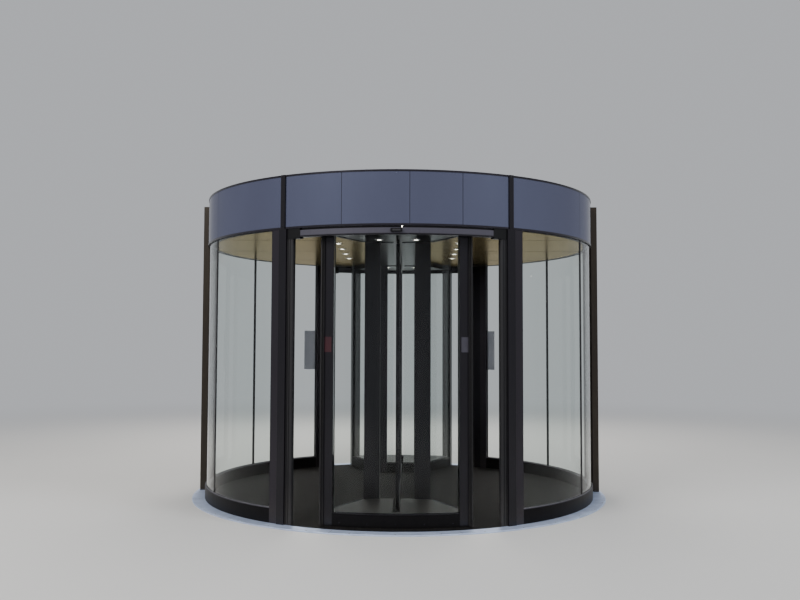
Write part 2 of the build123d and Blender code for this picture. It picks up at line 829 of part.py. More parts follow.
with BuildPart() as front_leaf_glass:
    with BuildSketch(Plane.YZ):
        with Locations((leaf_middle, opening_bottom)):
            Rectangle(opening_width, opening_top - opening_bottom, align=(Align.CENTER, Align.MIN))
    extrude(amount=leaf_glass_thickness / 2, both=True)
front_leaf_glass.part.label = "front_leaf_glass"
export_step(front_leaf_glass.part, "parts/front_leaf_glass.step")

with BuildPart() as rear_leaf_frame:
    mirror(front_leaf_frame.part, about=Plane.XZ)
rear_leaf_frame.part.label = "rear_leaf_frame"
export_step(rear_leaf_frame.part, "parts/rear_leaf_frame.step")

with BuildPart() as rear_leaf_glass:
    mirror(front_leaf_glass.part, about=Plane.XZ)
rear_leaf_glass.part.label = "rear_leaf_glass"
export_step(rear_leaf_glass.part, "parts/rear_leaf_glass.step")
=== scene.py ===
import bpy
import bmesh
from math import cos, degrees, pi, radians, sin
from mathutils import Matrix, Vector


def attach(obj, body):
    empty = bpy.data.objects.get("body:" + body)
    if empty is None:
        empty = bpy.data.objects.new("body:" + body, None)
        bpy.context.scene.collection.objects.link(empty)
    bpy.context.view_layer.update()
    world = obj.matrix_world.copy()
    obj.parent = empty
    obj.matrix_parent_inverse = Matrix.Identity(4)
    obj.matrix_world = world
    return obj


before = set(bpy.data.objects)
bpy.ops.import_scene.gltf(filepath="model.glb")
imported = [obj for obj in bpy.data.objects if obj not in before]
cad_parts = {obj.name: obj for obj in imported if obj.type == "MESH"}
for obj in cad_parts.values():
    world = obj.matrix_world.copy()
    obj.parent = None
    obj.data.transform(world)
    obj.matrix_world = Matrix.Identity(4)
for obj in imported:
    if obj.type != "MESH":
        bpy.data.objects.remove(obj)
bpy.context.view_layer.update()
print("frame loaded,", len(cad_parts), "nodes")

# Measures of the door in metres, as the frame has them; angles run from the middle of the front mouth towards +X
door = {
    "floor": 0.010,
    "matRadius": 1.7747,
    "drum": 1.800,
    "paneInner": 1.776,
    "paneOuter": 1.788,
    "railTop": 0.127,
    "canopyBottom": 2.290,
    "canopyTop": 2.716,
    "mouthAngle": 29.6,
    "edgeStart": 26.67,
    "stileStop": 33.23,
    "mullionAngle": 61.0,
    "mullionHalf": 0.223,
    "wallPostStart": 89.51,
    "headerBottom": 2.220,
    "rotorRadius": 1.722,
    "rotorBottom": 0.020,
    "caseAngle": 19.7,
    "casePostAngle": 16.37,
    "caseFoot": (0.275, 1.040),
    "caseBaseTop": 0.115,
    "headBottom": 2.250,
}
sunk = 0.001  # how far a fitting reaches into what carries it
weld = 0.00001  # vertices closer than this are merged
up, down, outwards = (0, 0, 1), (0, 0, -1), None  # where a repeated shape faces


def onCircle(radius, angle, level=0.0):
    return Vector((radius * sin(radians(angle)), -radius * cos(radians(angle)), level))


def about(middle, half):
    return middle - half, middle + half


# Node trees: values are set on a node's inputs, and sockets of other nodes are wired to them

def newTree(kind, name, inputs, outputs):
    tree = bpy.data.node_groups.new(name, kind)
    for label, socketKind, *value in inputs:
        socket = tree.interface.new_socket(label, in_out="INPUT", socket_type="NodeSocket" + socketKind)
        if value:
            socket.default_value = value[0]
    for label, socketKind in outputs:
        tree.interface.new_socket(label, in_out="OUTPUT", socket_type="NodeSocket" + socketKind)
    return tree, tree.nodes.new("NodeGroupInput").outputs


def addNode(tree, kind, values=(), **settings):
    node = tree.nodes.new(kind)
    node.location = (180 * len(tree.nodes), 0)
    for key, setting in settings.items():
        setattr(node, key, setting)
    for socket, value in dict(values).items():
        if isinstance(value, bpy.types.NodeSocket):
            tree.links.new(value, node.inputs[socket])
        else:
            node.inputs[socket].default_value = value
    return node.outputs


def maths(tree, operation, *values, **settings):
    return addNode(tree, "ShaderNodeMath", enumerate(values), operation=operation, **settings)[0]


def vectors(tree, operation, *values):
    return addNode(tree, "ShaderNodeVectorMath", enumerate(values), operation=operation)[0]


def mixTones(tree, share, first, second):
    return addNode(tree, "ShaderNodeMix", {0: share, 6: first, 7: second}, data_type="RGBA")[2]


def onObject(tree):
    return addNode(tree, "ShaderNodeTexCoord")["Object"]


def levelOf(tree):
    return addNode(tree, "ShaderNodeSeparateXYZ", {0: onObject(tree)})["Z"]


# Grain that is drawn out along one direction, as brushing or rolling leaves it
drawnGrain, grainIn = newTree(
    "ShaderNodeTree", "drawnGrain",
    [("Stretch", "Vector", (200.0, 200.0, 4.0)), ("Contrast", "Float", 0.6), ("Middle", "Float", 0.3)],
    [("Height", "Float"), ("Roughness", "Float")],
)
grainPlace = vectors(drawnGrain, "MULTIPLY", onObject(drawnGrain), grainIn["Stretch"])
grainNoise = addNode(drawnGrain, "ShaderNodeTexNoise", {"Vector": grainPlace, "Scale": 1.0, "Detail": 4.0})["Fac"]
grainShift = maths(drawnGrain, "MULTIPLY", grainIn["Contrast"], -0.5)
grainBase = maths(drawnGrain, "ADD", grainShift, grainIn["Middle"])
grainSpread = maths(drawnGrain, "MULTIPLY_ADD", grainNoise, grainIn["Contrast"], grainBase)
addNode(drawnGrain, "NodeGroupOutput", {"Height": grainNoise, "Roughness": grainSpread})

# Slow drift between two tones
toneDrift, driftIn = newTree(
    "ShaderNodeTree", "toneDrift",
    [("Color", "Color", (0.5, 0.5, 0.5, 1)), ("Other Color", "Color", (0.4, 0.4, 0.4, 1)),
     ("Size", "Vector", (3.0, 3.0, 3.0)), ("Sharpness", "Float", 1.5)],
    [("Color", "Color")],
)
driftPlace = vectors(toneDrift, "MULTIPLY", onObject(toneDrift), driftIn["Size"])
driftNoise = addNode(toneDrift, "ShaderNodeTexNoise", {"Vector": driftPlace, "Scale": 1.0, "Detail": 3.0})["Fac"]
driftCentre = maths(toneDrift, "SUBTRACT", driftNoise, 0.5)
driftShare = maths(toneDrift, "MULTIPLY_ADD", driftCentre, driftIn["Sharpness"], 0.5, use_clamp=True)
driftMix = mixTones(toneDrift, driftShare, driftIn["Color"], driftIn["Other Color"])
addNode(toneDrift, "NodeGroupOutput", {"Color": driftMix})

# Dust and splashes that thin out above the floor
floorDust, dustIn = newTree(
    "ShaderNodeTree", "floorDust",
    [("Color", "Color", (0.5, 0.5, 0.5, 1)), ("Dust Color", "Color", (0.3, 0.28, 0.25, 1)),
     ("Reach", "Float", 0.5), ("Amount", "Float", 0.4), ("Roughness", "Float", 0.3)],
    [("Color", "Color"), ("Roughness", "Float")],
)
dustFall = addNode(floorDust, "ShaderNodeMapRange", {
    "Value": levelOf(floorDust), "From Min": 0.0, "From Max": dustIn["Reach"], "To Min": 1.0, "To Max": 0.0,
}, interpolation_type="SMOOTHSTEP")[0]
dustNoise = addNode(floorDust, "ShaderNodeTexNoise", {
    "Vector": onObject(floorDust), "Scale": 38.0, "Detail": 6.0, "Roughness": 0.65})["Fac"]
dustPatch = maths(floorDust, "MULTIPLY", dustFall, dustNoise)
dustShare = maths(floorDust, "MULTIPLY", dustPatch, dustIn["Amount"], use_clamp=True)
dustRough = addNode(floorDust, "ShaderNodeMix", {0: dustShare, 2: dustIn["Roughness"], 3: 0.75}, data_type="FLOAT")[0]
addNode(floorDust, "NodeGroupOutput", {
    "Color": mixTones(floorDust, dustShare, dustIn["Color"], dustIn["Dust Color"]), "Roughness": dustRough})

# A lighter tone in a band of height: painted light, used for the lit face of the headers' stepped profile and for a
# painted highlight along the rails' upper edge
paintedLightBand, paintedLightIn = newTree(
    "ShaderNodeTree", "paintedLightBand",
    [("Color", "Color", (0.5, 0.5, 0.5, 1)), ("Band Color", "Color", (0.6, 0.6, 0.6, 1)),
     ("Low", "Float", 0.0), ("High", "Float", 0.0)],
    [("Color", "Color")],
)
paintedLightHeight = levelOf(paintedLightBand)
paintedLightShare = maths(paintedLightBand, "MULTIPLY", maths(paintedLightBand, "GREATER_THAN", paintedLightHeight, paintedLightIn["Low"]),
                  maths(paintedLightBand, "LESS_THAN", paintedLightHeight, paintedLightIn["High"]))
addNode(paintedLightBand, "NodeGroupOutput", {"Color": mixTones(paintedLightBand, paintedLightShare, paintedLightIn["Color"], paintedLightIn["Band Color"])})


def shade(red, green, blue):
    # a colour as a screen shows it, made linear
    shares = [part / 255 for part in (red, green, blue)]
    return (*(((share + 0.055) / 1.055) ** 2.4 if share > 0.04045 else share / 12.92 for share in shares), 1.0)


def triple(size):
    return size if isinstance(size, tuple) else (size, size, size)


def newMaterial(name, plain):
    material = bpy.data.materials.new(name)
    material.use_nodes = True
    shader = material.node_tree.nodes["Principled BSDF"]
    for socket, value in plain.items():
        shader.inputs[socket].default_value = value
    return material, material.node_tree, shader.inputs


def driftingTone(tree, finish):
    return addNode(tree, "ShaderNodeGroup", {
        "Color": shade(*finish["tones"][0]), "Other Color": shade(*finish["tones"][1]),
        "Size": triple(finish["patches"]), "Sharpness": finish["sharpness"],
    }, node_tree=toneDrift)["Color"]


# What a finish has unless it says otherwise; dust is its reach above the floor and its amount
standardFinish = {"plain": {}, "sharpness": 2.0, "dust": (0.05, 0.0), "dustTone": (120, 114, 104), "bumpDepth": 0.0005}


def grainedFinish(name, finish):
    # tone, dust near the floor, grain in the gloss and a fine relief
    finish = {**standardFinish, **finish}
    material, tree, shader = newMaterial(name, finish["plain"])
    tone = driftingTone(tree, finish)
    grain = addNode(tree, "ShaderNodeGroup", {
        "Stretch": triple(finish["stretch"]), "Contrast": finish["contrast"], "Middle": finish["roughness"],
    }, node_tree=drawnGrain)
    # a band of painted light at a given height, where the finish has one
    if "band" in finish:
        low, high = finish["band"]
        tone = addNode(tree, "ShaderNodeGroup", {
            "Color": tone, "Band Color": shade(*finish["bandTone"]), "Low": low, "High": high,
        }, node_tree=paintedLightBand)["Color"]
    dust = addNode(tree, "ShaderNodeGroup", {
        "Color": tone, "Roughness": grain["Roughness"], "Dust Color": shade(*finish["dustTone"]),
        "Reach": finish["dust"][0], "Amount": finish["dust"][1],
    }, node_tree=floorDust)
    bump = addNode(tree, "ShaderNodeBump", {
        "Height": grain["Height"], "Strength": finish["relief"], "Distance": finish["bumpDepth"]})
    tree.links.new(dust["Color"], shader["Base Color"])
    tree.links.new(dust["Roughness"], shader["Roughness"])
    tree.links.new(bump[0], shader["Normal"])
    return material


def clearGlass(name, finish):
    # plain polished transmission; the tint drifts a little over the pane
    material, tree, shader = newMaterial(name, {
        "Metallic": 0.0, "Transmission Weight": 1.0, "IOR": finish["ior"], "Roughness": finish["roughness"]})
    tree.links.new(driftingTone(tree, {"sharpness": 1.5, **finish}), shader["Base Color"])
    return material


blackFinish = {
    "plain": {"Metallic": 0.5, "Specular IOR Level": 0.4, "Coat Weight": 0.1, "Coat Roughness": 0.2},
    "tones": ((30, 28, 34), (22, 20, 25)), "patches": (2.0, 2.0, 0.8), "dust": (0.25, 0.07),
    "stretch": (420.0, 420.0, 6.0), "contrast": 0.14, "roughness": 0.3, "relief": 0.12,
}
plateFinish = {
    "plain": {"Specular IOR Level": 0.4}, "patches": (30.0, 30.0, 20.0),
    "stretch": 500.0, "contrast": 0.12, "roughness": 0.35, "relief": 0.1,
}
finishes = {
    "blackAluminium": blackFinish,
    # a lighter band at the rails' top edge is a painted highlight
    "railWithPaintedHighlight": {
        **blackFinish, "plain": {"Metallic": 0.3, "Specular IOR Level": 0.12}, "tones": ((13, 12, 15), (9, 8, 11)),
        "band": (0.1225, 0.128), "bandTone": (72, 70, 77), "roughness": 0.45, "dust": (0.25, 0.05),
    },
    # the warm brown tone of the wall posts is a painted reflection of warm surroundings on black aluminium
    "wallPostPaintedWarmReflection": {**blackFinish, "tones": ((54, 47, 39), (44, 38, 31)), "roughness": 0.34},
    # the headers' face band between the dark lip and the shadow gap is painted lighter: painted light on one face of a
    # single dark metal
    "headerWithPaintedLightBand": {**blackFinish, "band": (2.2325, 2.2745), "bandTone": (80, 78, 88), "dust": (0.05, 0.0)},
    "trimAluminium": {**blackFinish, "tones": ((40, 37, 46), (30, 28, 35)), "roughness": 0.24, "dust": (0.05, 0.0)},
    "stileAluminium": {
        "plain": {"Metallic": 0.7}, "tones": ((54, 50, 56), (45, 42, 48)), "patches": (2.0, 2.0, 0.6),
        "stretch": (380.0, 380.0, 5.0), "contrast": 0.2, "roughness": 0.34, "relief": 0.15, "dust": (0.3, 0.2),
    },
    "canopyGloss": {
        "plain": {"Metallic": 0.8, "Specular Tint": (0.5, 0.5, 0.56, 1.0), "Coat Weight": 0.3, "Coat Roughness": 0.04},
        "tones": ((108, 113, 138), (95, 98, 122)), "patches": (1.3, 1.3, 0.5), "sharpness": 1.6,
        "stretch": (30.0, 30.0, 1.5), "contrast": 0.08, "roughness": 0.16, "relief": 0.05,
    },
    "beadAluminium": {
        "plain": {"Metallic": 0.9}, "tones": ((132, 130, 138), (118, 116, 124)), "patches": 4.0,
        "stretch": 240.0, "contrast": 0.16, "roughness": 0.3, "relief": 0.1,
    },
    "satinSteel": {
        "plain": {"Metallic": 0.55}, "tones": ((205, 219, 248), (180, 195, 226)), "patches": 9.0, "sharpness": 2.6,
        "stretch": 150.0, "contrast": 0.24, "roughness": 0.46, "relief": 0.2,
        "dust": (0.05, 0.3), "dustTone": (150, 146, 140),
    },
    "turnedSteel": {
        "plain": {"Metallic": 1.0}, "tones": ((150, 152, 158), (128, 130, 136)), "patches": 5.0,
        "stretch": (12.0, 12.0, 500.0), "contrast": 0.2, "roughness": 0.34, "relief": 0.2,
    },
    "zincSheet": {
        "plain": {"Metallic": 0.85}, "tones": ((146, 149, 156), (132, 135, 142)), "patches": 7.0, "sharpness": 2.5,
        "stretch": 90.0, "contrast": 0.18, "roughness": 0.45, "relief": 0.15,
    },
    # the beige tone is painted warm light on a pale ceiling, and the warm Specular Tint is a painted warm reflection
    "ceilingPaintedWarmLight": {
        "plain": {"Metallic": 0.9, "Specular Tint": (0.82, 0.68, 0.42, 1.0)},
        "tones": ((154, 143, 115), (142, 132, 106)), "patches": 1.5, "sharpness": 1.5,
        "stretch": (260.0, 8.0, 8.0), "contrast": 0.1, "roughness": 0.24, "relief": 0.06,
    },
    "caseLaminate": {
        "plain": {"Specular IOR Level": 0.4}, "tones": ((42, 39, 36), (34, 32, 30)), "patches": 7.0, "sharpness": 2.5,
        "stretch": 220.0, "contrast": 0.2, "roughness": 0.5, "relief": 0.25, "dust": (0.2, 0.15),
    },
    "sealRubber": {
        "plain": {"Specular IOR Level": 0.35}, "tones": ((30, 29, 32), (23, 22, 25)), "patches": (6.0, 6.0, 2.0),
        "stretch": (600.0, 600.0, 60.0), "contrast": 0.2, "roughness": 0.6, "relief": 0.3, "dust": (0.4, 0.2),
    },
    "bristleNylon": {
        "plain": {"Specular IOR Level": 0.3}, "tones": ((28, 27, 29), (40, 38, 38)), "patches": (300.0, 300.0, 20.0),
        "sharpness": 3.0, "stretch": (900.0, 900.0, 30.0), "contrast": 0.2, "roughness": 0.62, "relief": 0.3,
        "dust": (0.05, 0.4),
    },
    "sensorPlastic": {
        "plain": {"Specular IOR Level": 0.25}, "tones": ((9, 9, 11), (6, 6, 8)), "patches": 20.0,
        "stretch": 700.0, "contrast": 0.12, "roughness": 0.36, "relief": 0.25,
    },
    "sensorWindow": {
        "plain": {"Specular IOR Level": 0.7, "Coat Weight": 1.0, "Coat Roughness": 0.03},
        "tones": ((20, 12, 18), (14, 9, 14)), "patches": 40.0, "sharpness": 1.5,
        "stretch": 50.0, "contrast": 0.03, "roughness": 0.08, "relief": 0.02,
    },
    "lampTrimWhite": {
        "plain": {"Metallic": 0.3}, "tones": ((205, 205, 208), (190, 190, 194)), "patches": 30.0,
        "stretch": 300.0, "contrast": 0.12, "roughness": 0.32, "relief": 0.1,
    },
    "matPile": {
        "plain": {"Specular IOR Level": 0.12}, "tones": ((18, 18, 19), (12, 12, 13)), "patches": 60.0, "sharpness": 4.0,
        "stretch": 900.0, "contrast": 0.1, "roughness": 0.92, "relief": 1.0, "dust": (0.05, 0.05),
    },
    "matRail": {
        "plain": {"Metallic": 0.8}, "tones": ((38, 37, 40), (29, 28, 31)), "patches": 30.0, "sharpness": 3.0,
        "stretch": (10.0, 700.0, 700.0), "contrast": 0.2, "roughness": 0.45, "relief": 0.3, "dust": (0.05, 0.2),
    },
    "plateRed": {**plateFinish, "tones": ((58, 22, 30), (48, 18, 25))},
    "plateGrey": {**plateFinish, "tones": ((64, 62, 72), (55, 53, 62))},
}
glasses = {
    "wallPane": {
        "tones": ((246, 249, 248), (240, 246, 244)), "patches": (2.0, 2.0, 0.7), "roughness": 0.0, "ior": 1.17},
    "casePane": {
        "tones": ((248, 250, 249), (243, 247, 246)), "patches": (2.5, 2.5, 0.8), "roughness": 0.0, "ior": 1.18},
    "plateFilm": {
        "tones": ((146, 147, 154), (134, 135, 142)), "patches": (20.0, 20.0, 12.0), "roughness": 0.75, "ior": 1.35},
}
lampFinish = {"tones": ((255, 248, 236), (250, 240, 222)), "patches": 60.0, "sharpness": 1.0}

paints = {name: grainedFinish(name, finish) for name, finish in finishes.items()}
paints.update({name: clearGlass(name, finish) for name, finish in glasses.items()})
paints["lampGlow"], lampTree, lampShader = newMaterial("lampGlow", {"Roughness": 0.3, "Emission Strength": 14.0})
lampTone = driftingTone(lampTree, lampFinish)
lampTree.links.new(lampTone, lampShader["Base Color"])
lampTree.links.new(lampTone, lampShader["Emission Color"])

slotPaints = {
    "dark_metal": "blackAluminium",
    "stile_metal": "stileAluminium",
    "canopy_panel": "canopyGloss",
    "glass": "wallPane",
    "floor_metal": "satinSteel",
    "mat": "matPile",
    "ceiling": "ceilingPaintedWarmLight",
    "display_floor": "caseLaminate",
    "rubber": "sealRubber",
    "steel": "turnedSteel",
    "carcass": "zincSheet",
    "light": "lampTrimWhite",
    "sensor": "sensorPlastic",
}
nodePaints = {
    "casePane": ("front_showcase_front_glass", "front_showcase_side_glass", "rear_showcase_front_glass",
                 "rear_showcase_side_glass", "front_leaf_glass", "rear_leaf_glass"),
    "railWithPaintedHighlight": ("left_base_rails", "right_base_rails", "front_showcase_base", "rear_showcase_base"),
    "wallPostPaintedWarmReflection": ("left_wall_post", "right_wall_post"),
    "headerWithPaintedLightBand": ("front_header", "rear_header"),
    "trimAluminium": ("canopy_trims",),
}
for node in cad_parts.values():
    for place in node.material_slots:
        place.material = paints[slotPaints[place.material.name.split(".")[0]]]
for paint, names in nodePaints.items():
    for name in names:
        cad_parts[name].material_slots[0].material = paints[paint]
print("finishes on the frame's nodes")


# Mesh helpers

def meshFrom(name, bm):
    mesh = bpy.data.meshes.new(name)
    bm.to_mesh(mesh)
    bm.free()
    return mesh


def newObject(name, data):
    thing = bpy.data.objects.new(name, data)
    bpy.context.scene.collection.objects.link(thing)
    return thing


def placePiece(name, mesh, paint, body, smooth=0.0):
    mesh.materials.clear()
    mesh.materials.append(paints[paint])
    piece = newObject(name, mesh)
    if smooth:
        mesh.shade_smooth()
        mesh.set_sharp_from_angle(angle=radians(smooth))
    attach(piece, body)


def finishMesh(name, bm, paint, body, smooth=0.0):
    bmesh.ops.remove_doubles(bm, verts=bm.verts, dist=weld)
    bmesh.ops.recalc_face_normals(bm, faces=bm.faces)
    placePiece(name, meshFrom(name, bm), paint, body, smooth)


def loft(bm, outlines, closed=False):
    # quads between outlines of the same length, with caps at both ends unless the last one meets the first
    loops = [[bm.verts.new(point) for point in outline] for outline in outlines]
    for first, second in zip(loops, loops[1:] + loops[:1] if closed else loops[1:]):
        for index in range(len(first)):
            following = (index + 1) % len(first)
            bm.faces.new((first[index], first[following], second[following], second[index]))
    if not closed:
        bm.faces.new(loops[0])
        bm.faces.new(loops[-1])


def sweptRing(bm, section, angles, step=1.5):
    # a closed section of (radius, level) points, carried round the axis
    start, stop = angles
    whole = stop - start >= 360
    count = max(1, round((stop - start) / step))
    turns = [start + (stop - start) * index / count for index in range(count if whole else count + 1)]
    loft(bm, [[onCircle(radius, angle, level) for radius, level in section] for angle in turns], whole)


def ringBar(bm, radii, levels, angles, step=1.5):
    (near, far), (low, high) = radii, levels
    sweptRing(bm, [(near, low), (far, low), (far, high), (near, high)], angles, step)


def ringBead(bm, radii, levels, angles, step=2.0):
    # a curved bead whose outer upper edge is rounded off
    (near, far), (low, high) = radii, levels
    third, rise = (far - near) / 3, (high - low) / 3
    sweptRing(bm, [(near, low), (far, low), (far, high - rise), (far - third, high), (near, high)], angles, step)


def prism(bm, outline, levels):
    # a plan outline of (x, y) points drawn up between two levels
    loft(bm, [[(x, y, level) for x, y in outline] for level in levels])


def corners(plan):
    left, near, right, far = plan
    return [(left, near), (right, near), (right, far), (left, far)]


def grown(plan, margin):
    left, near, right, far = plan
    return left - margin, near - margin, right + margin, far + margin


def bar(bm, start, stop, width, levels):
    # a straight bar between two plan points
    start, stop = Vector(start), Vector(stop)
    along = (stop - start).normalized()
    side = Vector((along.y, -along.x)) * width / 2
    prism(bm, [start + side, stop + side, stop - side, start - side], levels)


def frameLoop(bm, opening, section, face):
    # a mitred bead round an upright opening across the X axis; section holds (inset, depth) points
    (left, low), (right, high) = opening
    mitres = ((left, low, 1, 1), (right, low, -1, 1), (right, high, -1, -1), (left, high, 1, -1))
    loft(bm, [[(face * depth, y + inY * inset, z + inZ * inset) for inset, depth in section]
              for y, z, inY, inZ in mitres], closed=True)


def turned(bm, profile, sides, centre=(0, 0, 0), aim=None, closed=False):
    # a round body from (radius, height) points, standing on a point and facing an aim
    turn = Vector(aim).to_track_quat("Z", "Y").to_matrix() if aim else Matrix.Identity(3)
    spokes = [(cos(2 * pi * index / sides), sin(2 * pi * index / sides)) for index in range(sides)]
    loft(bm, [[Vector(centre) + turn @ Vector((radius * x, radius * y, height)) for x, y in spokes]
              for radius, height in profile], closed)


def quarters(start, stop):
    return [(start, stop), (180 - stop, 180 - start), (180 + start, 180 + stop), (360 - stop, 360 - start)]


def circlePath(radius, level, start=0.0, stop=360.0, step=2.0):
    count = max(2, round((stop - start) / step))
    return [onCircle(radius, start + (stop - start) * index / count, level) for index in range(count + 1)]


def applyTree(name, mesh, tree, values):
    # the tree's result as a plain mesh; its inputs are set by their identifiers
    holder = newObject(name + "_holder", mesh)
    modifier = holder.modifiers.new("tree", "NODES")
    modifier.node_group = tree
    for socket in tree.interface.items_tree:
        if socket.name in values:
            modifier[socket.identifier] = values[socket.name]
    graph = bpy.context.evaluated_depsgraph_get()
    result = bpy.data.meshes.new_from_object(holder.evaluated_get(graph))
    result.name = name
    holder.modifiers.remove(modifier)
    bpy.data.objects.remove(holder)
    return result


def endTree(tree, instances, finish):
    real = addNode(tree, "GeometryNodeRealizeInstances", {0: instances})[0]
    painted = addNode(tree, "GeometryNodeSetMaterial", {0: real, "Material": finish})[0]
    addNode(tree, "NodeGroupOutput", {0: painted})


# Rows: a small shape set along paths, facing away from the axis or one fixed way
rowTree, rowIn = newTree(
    "GeometryNodeTree", "rowAlongPath",
    [("Path", "Geometry"), ("Shape", "Object"), ("Spacing", "Float"), ("Outward", "Float"), ("Facing", "Vector"),
     ("Size Change", "Float"), ("Lean", "Float"), ("Seed", "Int"), ("Finish", "Material")],
    [("Row", "Geometry")],
)
rowTree.is_modifier = True
rowCurve = addNode(rowTree, "GeometryNodeMeshToCurve", {0: rowIn["Path"]})[0]
rowPoints = addNode(
    rowTree, "GeometryNodeResampleCurve", {"Curve": rowCurve, "Length": rowIn["Spacing"]}, mode="LENGTH")[0]
rowFlat = vectors(rowTree, "MULTIPLY", addNode(rowTree, "GeometryNodeInputPosition")[0], (1, 1, 0))
rowAim = addNode(rowTree, "ShaderNodeMix", {
    0: rowIn["Outward"], 4: rowIn["Facing"], 5: vectors(rowTree, "NORMALIZE", rowFlat)}, data_type="VECTOR")[1]
rowStand = addNode(rowTree, "FunctionNodeAlignRotationToVector", {"Vector": rowAim}, axis="Z")[0]
rowTurn = addNode(rowTree, "FunctionNodeAlignRotationToVector", {
    "Rotation": rowStand, "Vector": addNode(rowTree, "GeometryNodeInputTangent")[0]}, axis="X", pivot_axis="Z")[0]
rowLean = addNode(rowTree, "FunctionNodeRandomValue", {
    0: maths(rowTree, "MULTIPLY", rowIn["Lean"], -1.0), 1: rowIn["Lean"], "Seed": rowIn["Seed"],
}, data_type="FLOAT_VECTOR")[0]
rowLeaning = addNode(rowTree, "FunctionNodeRotateRotation", {
    0: rowTurn, 1: addNode(rowTree, "FunctionNodeEulerToRotation", {0: rowLean})[0]}, rotation_space="LOCAL")[0]
rowSize = addNode(rowTree, "FunctionNodeRandomValue", {
    2: maths(rowTree, "SUBTRACT", 1.0, rowIn["Size Change"]), 3: maths(rowTree, "ADD", 1.0, rowIn["Size Change"]),
    "Seed": rowIn["Seed"],
}, data_type="FLOAT")[1]
rowShape = addNode(rowTree, "GeometryNodeObjectInfo", {"Object": rowIn["Shape"]}, transform_space="ORIGINAL")
endTree(rowTree, addNode(rowTree, "GeometryNodeInstanceOnPoints", {
    "Points": rowPoints, "Instance": rowShape["Geometry"], "Rotation": rowLeaning, "Scale": rowSize,
})[0], rowIn["Finish"])


def rowOf(name, shape, paths, spacing, paint, body, facing=outwards, sizeChange=0.0, lean=0.0, seed=1,
          smooth=35):
    bm = bmesh.new()
    for path in paths:
        knots = [bm.verts.new(point) for point in path]
        for first, second in zip(knots, knots[1:]):
            bm.edges.new((first, second))
    mesh = applyTree(name, meshFrom(name + "_path", bm), rowTree, {
        "Shape": shape, "Spacing": spacing, "Outward": 0.0 if facing else 1.0, "Facing": facing or up,
        "Size Change": sizeChange, "Lean": lean, "Seed": seed, "Finish": paints[paint]})
    placePiece(name, mesh, paint, body, smooth)


# Small shapes that the rows repeat, each made at the origin with its face towards +Z; measures of screwProfile
# and tuft are shares of the whole shape's
screwProfile = ((1.0, 0.0), (1.0, 0.45), (0.82, 1.0), (0.5, 1.0), (0.42, 0.35))
tuft = {"tilts": (-0.25, 0.25), "tipWidth": 0.55, "tipDepth": 0.4}
shapes = []


def keepShape(name, bm):
    bmesh.ops.recalc_face_normals(bm, faces=bm.faces)
    shapes.append(newObject(name, meshFrom(name, bm)))
    return shapes[-1]


def screwShape(name, radius, height, sides=12):
    # low head with a rounded rim and a socket
    bm = bmesh.new()
    turned(bm, [(radius * share, height * rise) for share, rise in screwProfile], sides)
    return keepShape(name, bm)


def tuftShape(name, length, width, depth):
    # one tuft of a brush: two leaning blades that taper from the same root
    bm = bmesh.new()
    root = corners((-width / 2, -depth / 2, width / 2, depth / 2))
    for tilt in tuft["tilts"]:
        tip = [(x * tuft["tipWidth"] + tilt * width, y * tuft["tipDepth"], length) for x, y in root]
        loft(bm, [[(x, y, 0) for x, y in root], tip])
    return keepShape(name, bm)


smallScrew = screwShape("smallScrew", radius=0.0045, height=0.0016)
plateScrew = screwShape("plateScrew", radius=0.006, height=0.0012)
roofBolt = screwShape("roofBolt", radius=0.010, height=0.005, sides=6)
floorTuft = tuftShape("floorTuft", length=0.0095, width=0.0042, depth=0.0016)
wallTuft = tuftShape("wallTuft", length=0.0125, width=0.0050, depth=0.0018)

# Floor ring: joints between its plates, the screws that hold them, and ribbed thresholds in the two mouths
floorRing = {
    "plates": 12, "jointWidth": 0.0016, "jointReach": (1.813, 1.9085), "jointProud": 0.0004,
    "screwRadius": 1.890, "screwSpacing": 0.33,
    "thresholdGap": 0.0006, "thresholdWidth": 0.024, "thresholdHeight": 0.0014, "edgeGap": 0.1,
    "ribs": 4, "ribInset": 0.0025, "ribPitch": 0.0052, "ribWidth": 0.0026, "ribHeight": 0.0008,
}
floorLevel = door["floor"]
bm = bmesh.new()
for index in range(floorRing["plates"]):
    middle = 360 / floorRing["plates"] * (index + 0.5)
    ringBar(bm, floorRing["jointReach"], (floorLevel - sunk, floorLevel + floorRing["jointProud"]),
            about(middle, degrees(floorRing["jointWidth"] / 2 / door["drum"])))
finishMesh("ring_joints", bm, "sealRubber", "drum")
rowOf("ring_screws", plateScrew, [circlePath(floorRing["screwRadius"], floorLevel)], floorRing["screwSpacing"],
      "turnedSteel", "drum", up)
bm = bmesh.new()
ribFoot = floorLevel + floorRing["thresholdHeight"]
near = door["matRadius"] + floorRing["thresholdGap"]
for base in (0, 180):
    angles = about(base, door["edgeStart"] - floorRing["edgeGap"])
    ringBar(bm, (near, near + floorRing["thresholdWidth"]), (floorLevel - sunk, ribFoot), angles)
    for rib in range(floorRing["ribs"]):
        ribNear = near + floorRing["ribInset"] + rib * floorRing["ribPitch"]
        ringBar(bm, (ribNear, ribNear + floorRing["ribWidth"]), (ribFoot, ribFoot + floorRing["ribHeight"]), angles)
finishMesh("mouth_thresholds", bm, "railWithPaintedHighlight", "drum")
print("floor ring")

